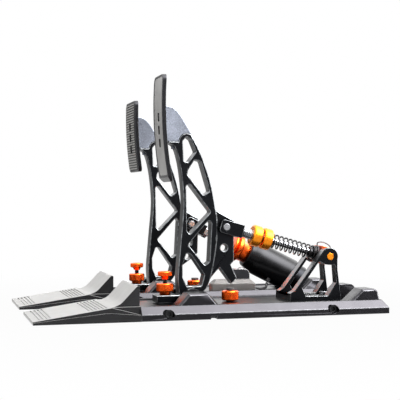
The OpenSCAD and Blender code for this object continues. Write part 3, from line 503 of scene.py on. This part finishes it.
for module in MODULES:
    at_rest_stop = upright(module, REST_STOP)
    node = module + "_rest_knob"
    stand_in(node + "_head", placed(knurled(KNOB, KNOB_R, KNOB_KNURL, False), at_rest_stop), node)
    screw = placed(turned(SCREW, steps=40), at_rest_stop)
    piece(module + "_rest_screw", screw, BODY_OF[node], "black_steel")
    node = module + "_rest_lock_wheel"
    stand_in(node + "_turned", placed(knurled(LOCK_WHEEL, WHEEL_R, WHEEL_KNURL, True), at_rest_stop), node)
    node = module + "_end_stop_wheel"
    end_wheel = knurled(END_WHEEL, WHEEL_R, WHEEL_KNURL, True)
    stand_in(node + "_turned", placed(end_wheel, upright(module, END_STOP)), node)

# Throttle rod with its cut thread, rings and spring
on_throttle = rod_frame("throttle")
ROD_START = 22
THREAD_FROM = ROD_START + 0.3
THREAD_END = 61.5
SLIDE_R = 4
SLIDE_END = 119.2
SLIDE_EDGE = 0.6
rod = turned(
    [
        (0, ROD_START), (5.5, ROD_START), *thread(6.4, 0.9, 2.4, THREAD_FROM, THREAD_END),
        (SLIDE_R, THREAD_END), (SLIDE_R, SLIDE_END - SLIDE_EDGE), (3.4, SLIDE_END), (0, SLIDE_END),
    ],
    steps=64,
)
stand_in("throttle_rod_turned", placed(rod, on_throttle), "throttle_rod")
RING_R = 13.2
RING_LEN = 12
RING_EDGE = 2.6
BORE_R = 6.45
BORE_LIP_R = 7.1
BORE_LIP = 0.6
for node, start in (("throttle_lock_ring", 36.5), ("throttle_preload_ring", 50.5)):
    end = start + RING_LEN
    barrel = turned(
        [
            (BORE_R, start + BORE_LIP), (BORE_LIP_R, start),
            *arc(RING_R - RING_EDGE, start + RING_EDGE, RING_EDGE, -90, 0),
            *arc(RING_R - RING_EDGE, end - RING_EDGE, RING_EDGE, 0, 90),
            (BORE_LIP_R, end), (BORE_R, end - BORE_LIP),
        ],
        closed=True,
    )
    stand_in(node + "_turned", placed(barrel, on_throttle), node)

SPRING_R = 8.2
WIRE_R = 1
WIRE_SIDES = 12
SPRING_LOW = 63.55
SPRING_HIGH = 122.65
CLOSED_PITCH = 1.75
OPEN_TURNS = 9
TURN_STEPS = 36
spring = bmesh.new()
bmesh.ops.create_circle(spring, cap_ends=True, segments=WIRE_SIDES, radius=WIRE_R * MM)
wire_start = Matrix.Translation((SPRING_R * MM, 0, SPRING_LOW * MM))
placed(spring, wire_start @ Matrix.Rotation(math.pi / 2, 4, "X"))
open_pitch = (SPRING_HIGH - SPRING_LOW - 2 * CLOSED_PITCH) / OPEN_TURNS
ring = spring.verts[:] + spring.edges[:] + spring.faces[:]
for turns, pitch in ((1, CLOSED_PITCH), (OPEN_TURNS, open_pitch), (1, CLOSED_PITCH)):
    wound = bmesh.ops.spin(
        spring, geom=ring, cent=(0, 0, 0), axis=(0, 0, 1), dvec=(0, 0, pitch * MM / TURN_STEPS),
        angle=2 * math.pi * turns, steps=TURN_STEPS * turns, use_merge=False, use_duplicate=False,
    )
    ring = wound["geom_last"]
bmesh.ops.recalc_face_normals(spring, faces=spring.faces)
coil = stand_in("throttle_spring_wound", placed(spring, on_throttle), "throttle_spring", sharp=60)
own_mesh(coil)


def hose(name, points, radius, node):
    """A round tube through points in millimetres, for one CAD node."""
    curve = bpy.data.curves.new(name, "CURVE")
    curve.dimensions = "3D"
    curve.bevel_depth = radius * MM
    curve.bevel_resolution = 5
    curve.use_fill_caps = True
    line = curve.splines.new("BEZIER")
    line.bezier_points.add(len(points) - 1)
    line.resolution_u = 8
    for spot, at in zip(line.bezier_points, points):
        spot.co = Vector(at) * MM
        spot.handle_left_type = "AUTO"
        spot.handle_right_type = "AUTO"
    holder = bpy.data.objects.new(name + "_line", curve)
    mesh = bpy.data.meshes.new_from_object(holder)
    bpy.data.objects.remove(holder)
    shape = bmesh.new()
    shape.from_mesh(mesh)
    bmesh.ops.remove_doubles(shape, verts=shape.verts, dist=WELD)
    bmesh.ops.recalc_face_normals(shape, faces=shape.faces)
    return stand_in(name, shape, node)


# Thin lead over the trunnion: [above the rod, along from the rear pivot]
PIVOT_AT = 134.2
LEAD_R = 0.7
LEAD = [
    (10.04, -9.7), (10.7, -9.7), (12, -10.1), (13.4, -10.1), (14.7, -8.7), (15.7, -6.2), (16.2, -3),
    (15.8, 2), (14.4, 6.2), (12.2, 8.5), (10.1, 8.5), (8.32, 6.99),
]
route = [on_throttle @ Vector((0, -up * MM, (PIVOT_AT + along) * MM)) / MM for up, along in LEAD]
hose("throttle_lead", route, LEAD_R, "throttle_sensor_lead")

# Brake rod and its nut
on_brake = rod_frame("brake")
ROD_R = 5
ROD_END = 97
CUT_END = 64
rod = turned(
    [
        (0, ROD_START), (4.4, ROD_START), *thread(ROD_R, 0.6, 1.25, THREAD_FROM, CUT_END),
        (ROD_R, CUT_END + 0.5), (ROD_R, ROD_END), (0, ROD_END),
    ],
    steps=64,
)
stand_in("brake_rod_turned", placed(rod, on_brake), "brake_rod")
NUT_R = 8.5
NUT_LEN = 6.8
NUT_AT = ROD_START + 0.2
NUT_EDGE = 0.5
nut = bmesh.new()
bmesh.ops.create_circle(nut, cap_ends=True, segments=6, radius=NUT_R * MM)
placed(nut, along_z(NUT_AT))
raised = bmesh.ops.extrude_face_region(nut, geom=nut.faces[:])
upper = [v for v in raised["geom"] if isinstance(v, bmesh.types.BMVert)]
bmesh.ops.translate(nut, vec=(0, 0, NUT_LEN * MM), verts=upper)
bmesh.ops.recalc_face_normals(nut, faces=nut.faces)
bevelled(nut, nut.edges[:], NUT_EDGE, EASING_STEPS)
piece("brake_rod_nut", placed(nut, on_brake), BODY_OF["brake_rod"], "bright_steel", even=True)

# Brake collar and cylinder, with heights from their own front ends
COLLAR_AT = 68
COLLAR = [
    (6.5, 0), (16, 0), (17, 0.4), (17.5, 1.2), (17.5, 3.2), (16.8, 4.1), (14.9, 4.4), (14.6, 4.8),
    (14.6, 5.5), (15, 5.9), (18.6, 6), (19.4, 6.5), (19.6, 7.2), (19.6, 10.8), (18.8, 12), (16, 13.2),
    (15.3, 14), (13.9, 23.6), (13.4, 24), (6.5, 24),
]
collar = placed(turned(COLLAR, closed=True), on_brake @ along_z(COLLAR_AT))
stand_in("brake_collar_turned", collar, "brake_collar")
CYL_START = 92
CYL_LEN = 74
CYL_BORE_R = 12.5
CYL_NECK_R = 7.5
FRONT_WALL = 4
REAR_WALL = 6
CYLINDER = [
    (CYL_NECK_R, 0), *arc(16, 3, 3, -90, 0), (20.5, 8), (21.9, 13), (22.7, 17), (23, 21),
    *arc(21, CYL_LEN - 2, 2, 0, 90), (0, CYL_LEN), (0, CYL_LEN - REAR_WALL),
    (CYL_BORE_R, CYL_LEN - REAR_WALL), (CYL_BORE_R, FRONT_WALL), (CYL_NECK_R, FRONT_WALL),
]
cylinder = placed(turned(CYLINDER, closed=True, steps=128), on_brake @ along_z(CYL_START))
stand_in("brake_cylinder_turned", cylinder, "brake_cylinder")

# Gland under the cylinder, with heights from the cylinder's axis
GLAND_ACROSS = 12
GLAND_AT = 135
GLAND = [(0, 18), (3.2, 18), (3.2, 22.6), (2.9, 23), (2.4, 23.1), (2.3, 23.8), (2, 24), (0, 24)]
downward = Matrix.Translation((GLAND_ACROSS * MM, 0, GLAND_AT * MM)) @ Matrix.Rotation(-math.pi / 2, 4, "X")
gland = placed(turned(GLAND, steps=24), on_brake @ downward)
piece("brake_gland", gland, BODY_OF["brake_cylinder"], "black_plastic", sharp=20)

# Rubber rings inside the cylinder
RUBBERS = 4
RUBBER_PITCH = 11
RUBBER_GAP = 0.4
RUBBER_R = 12
RUBBER_EDGE = 1.5
rubbers = bmesh.new()
for i in range(RUBBERS):
    low = CYL_START + CYL_LEN - REAR_WALL - (i + 1) * RUBBER_PITCH
    high = low + RUBBER_PITCH - RUBBER_GAP
    one = turned(
        [
            (0, low), *arc(RUBBER_R - RUBBER_EDGE, low + RUBBER_EDGE, RUBBER_EDGE, -90, 0),
            *arc(RUBBER_R - RUBBER_EDGE, high - RUBBER_EDGE, RUBBER_EDGE, 0, 90), (0, high),
        ],
        steps=48,
    )
    spare = bpy.data.meshes.new("ring")
    one.to_mesh(spare)
    one.free()
    rubbers.from_mesh(spare)
    bpy.data.meshes.remove(spare)
stand_in("brake_elastomer_rings", placed(rubbers, on_brake), "brake_elastomers")

# Cable from the sensor box to the gland: [across the module, along the base, up]
CABLE_R = 1.6
CABLE = [
    (33, 103.05, 19), (33, 106, 19), (32.2, 109.6, 17.6), (29, 114.5, 16.4), (24, 120, 16.2),
    (18.4, 125.3, 16.3), (14.4, 128.3, 17.2), (12.5, 129.3, 19.3), (12, 129.7, 21.6), (12, 130.5, 23.25),
]
route = [(x + MODULES["brake"], y, z) for x, y, z in CABLE]
hose("brake_cable", route, CABLE_R, "brake_sensor_cable")

# Nodes that keep their own mesh
for name, node in NODES.items():
    if not node.hide_render:
        node.data.materials.clear()
        node.data.materials.append(FINISHES[SLOT_OF[name]])

# White surroundings: even light on the object, and in reflections a brighter sky, soft boxes and a dark flag.
# A soft box has the way that it lies in, its gain, and the cosines between which it fades in.
WHITE = (1, 1, 1, 1)
AMBIENT = 0.42
SKY_GAIN = 1.5
SKY_SPREAD = (0.05, 0.45)
SOFT_BOXES = [
    ((0.33, 0.45, 0.83), 9, (0.8, 0.97)),
    ((0.5, 0.6, 0.62), 16, (0.86, 0.97)),
    ((-0.28, 0.95, 0.1), 7, (0.86, 0.97)),
]
FLAG_TOWARDS = (-0.93, -0.37, 0)
FLAG_DEPTH = 0.75
FLAG_SPREAD = (0.93, 0.99)


def rays(tree):
    """A wire that is 1 for reflected rays, and one that is 1 for those and the camera's own."""
    glossy = tree.node("ShaderNodeLightPath", out="Is Glossy Ray")
    return glossy, glossy.larger(tree.node("ShaderNodeLightPath", out="Is Camera Ray"))


world = bpy.data.worlds.new("white_room")
bpy.context.scene.world = world
room = Tree(world)
looking = room.node("ShaderNodeTexCoord", out="Generated")


def nearness(way):
    """The cosine between a ray and a way."""
    ends = {0: looking, 1: Vector(way).normalized()}
    return room.node("ShaderNodeVectorMath", {"operation": "DOT_PRODUCT"}, ends, out="Value")


sky = SKY_GAIN * room.spread(room.node("ShaderNodeSeparateXYZ", inputs={0: looking}, out="Z"), *SKY_SPREAD)
for way, gain, fade in SOFT_BOXES:
    sky = sky + gain * room.spread(nearness(way), *fade)
glossy, direct = rays(room)
flag = FLAG_DEPTH * glossy * room.spread(nearness(FLAG_TOWARDS), *FLAG_SPREAD)
room.feed(room.nodes["Background"], {
    "Color": WHITE,
    "Strength": (AMBIENT + (1 - AMBIENT) * direct + sky * glossy) * (1 - flag),
})

# Floor, pure white away from the object, with the flag's reflection in front of it
FLOOR_HALF = 30
FLOOR_AT = -0.0003
FLOOR_COLOUR = (0.9, 0.9, 0.9, 1)
FLOOR_GLOW = 0.93
GLOW_SPREAD = (0.2, 0.6)
FRONT_SPREAD = (-0.3, -0.8)
floor_shape = bmesh.new()
bmesh.ops.create_grid(floor_shape, x_segments=1, y_segments=1, size=FLOOR_HALF)
bmesh.ops.translate(floor_shape, vec=(0, 0, FLOOR_AT), verts=floor_shape.verts)
floor_mesh = bpy.data.meshes.new("floor")
floor_shape.to_mesh(floor_mesh)
floor_shape.free()
floor = added("floor", floor_mesh)
pale = bpy.data.materials.new("pale_floor")
ground = Tree(pale)
lit = ground.node("ShaderNodeBsdfDiffuse", inputs={"Color": FLOOR_COLOUR})
glow = ground.node("ShaderNodeEmission", inputs={"Color": WHITE, "Strength": 1})
spot = ground.node("ShaderNodeTexCoord", out="Object")
away = ground.node("ShaderNodeVectorMath", {"operation": "LENGTH"}, {0: spot}, out="Value")
share = FLOOR_GLOW + (1 - FLOOR_GLOW) * ground.spread(away, *GLOW_SPREAD)
glossy, direct = rays(ground)
depth = ground.node("ShaderNodeSeparateXYZ", inputs={0: spot}, out="Y")
share = share * (1 - FLAG_DEPTH * glossy * ground.spread(depth, *FRONT_SPREAD))
both = ground.node("ShaderNodeMixShader", inputs={0: share * direct, 1: lit, 2: glow})
ground.feed(ground.nodes["Material Output"], {"Surface": both})
floor_mesh.materials.append(pale)

# Lamps: where they stand, what they aim at, their size in metres and their watts
LAMPS = {
    "overhead": ((0.1, 0.1, 1.5), (0, 0, 0.1), 1.3, 8),
    "front": ((1.3, -1.3, 0.9), (0, 0, 0.12), 0.8, 4),
}
for name, (at, aim, size, watts) in LAMPS.items():
    lamp = bpy.data.lights.new(name, "AREA")
    lamp.size = size
    lamp.energy = watts
    aimed(name, lamp, at, Vector(aim) - Vector(at))
